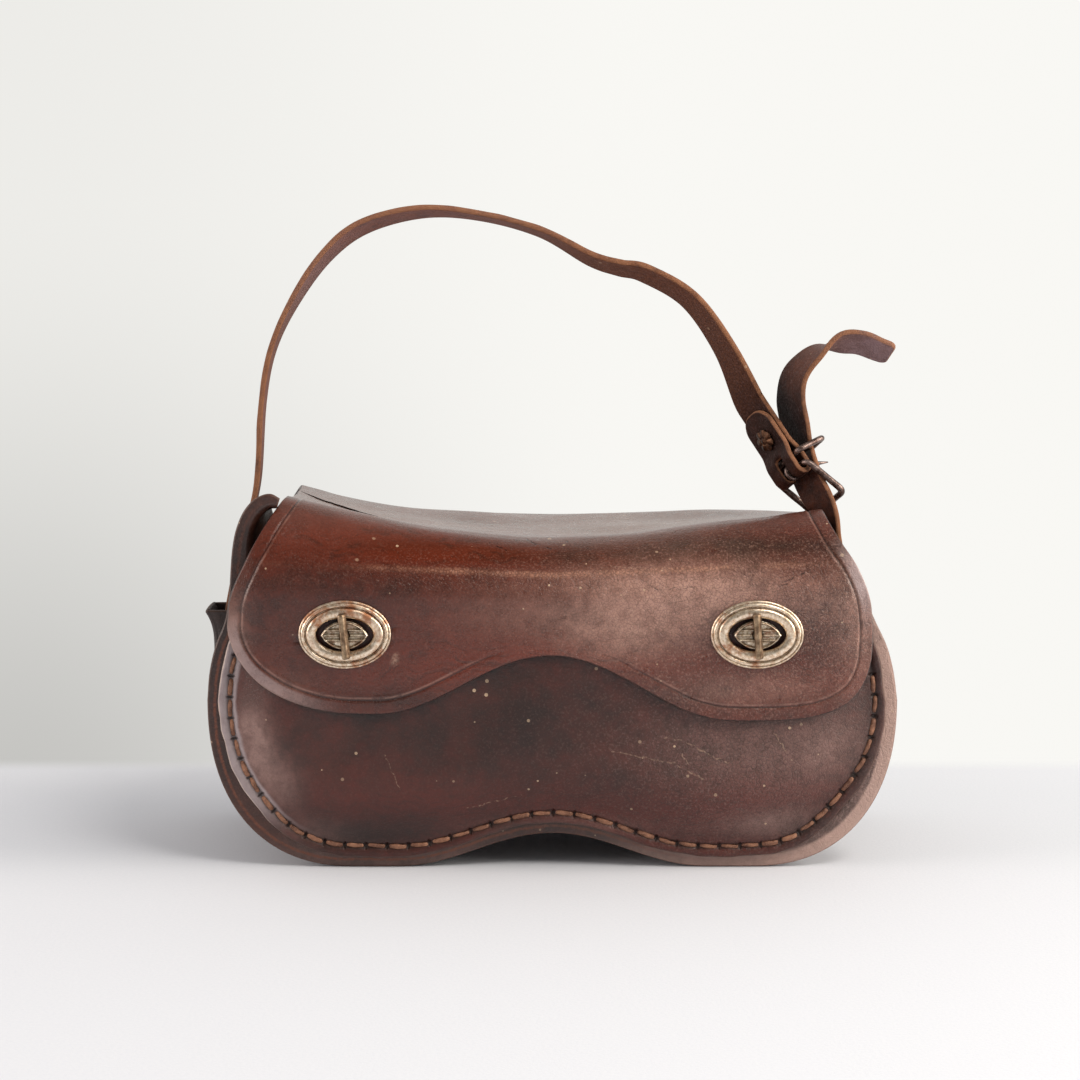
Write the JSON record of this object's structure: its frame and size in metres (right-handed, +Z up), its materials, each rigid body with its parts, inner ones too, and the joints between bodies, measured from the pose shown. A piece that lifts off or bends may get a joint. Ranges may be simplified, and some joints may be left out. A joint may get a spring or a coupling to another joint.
{
  "type": "two-lobed ball bag",
  "caption": "Stiff moulded leather bag with two round lobes, a wrap-over flap held by turn locks, and an arched buckled carrying strap.",
  "frame": {"origin": "on the floor under the middle of the bounding box", "axes": "+X to the right along the bag's length as seen from the front, +Y away from the front, +Z up"},
  "size_m": [0.25, 0.1274, 0.232],
  "materials": {
    "front_leather": "dark red-brown waxed leather, semi-gloss",
    "gusset_leather": "dark brown leather, satin",
    "flap_leather": "red-brown waxed leather, semi-gloss, worn",
    "strap_leather": "brown strap leather with a rough flesh side",
    "lock_metal": "worn nickel-plated brass with brown tarnish",
    "wire_metal": "dull brown-grey steel wire"
  },
  "bodies": {
    "root": {"front_panel": "front_leather", "gusset": "gusset_leather", "back_and_flap": "flap_leather", "long_strap": "strap_leather", "short_strap": "strap_leather", "strap_keeper": "strap_leather", "buckle_frame": "wire_metal", "buckle_prong": "wire_metal", "wire_keeper": "wire_metal", "rosette_rivet": "wire_metal", "left_lock_plate": "lock_metal", "left_lock_base": "lock_metal", "right_lock_plate": "lock_metal", "right_lock_base": "lock_metal"},
    "left_knob": {"left_lock_knob": "lock_metal"},
    "right_knob": {"right_lock_knob": "lock_metal"}
  },
  "joints": [
    {"name": "left_lock_turn", "type": "hinge", "parent": "root", "child": "left_knob", "pos_m": [-0.0707, -0.0565, 0.085], "axis": [0, 1, 0], "range_deg": [0, 90]},
    {"name": "right_lock_turn", "type": "hinge", "parent": "root", "child": "right_knob", "pos_m": [0.0715, -0.0565, 0.085], "axis": [0, 1, 0], "range_deg": [0, 90]}
  ]
}
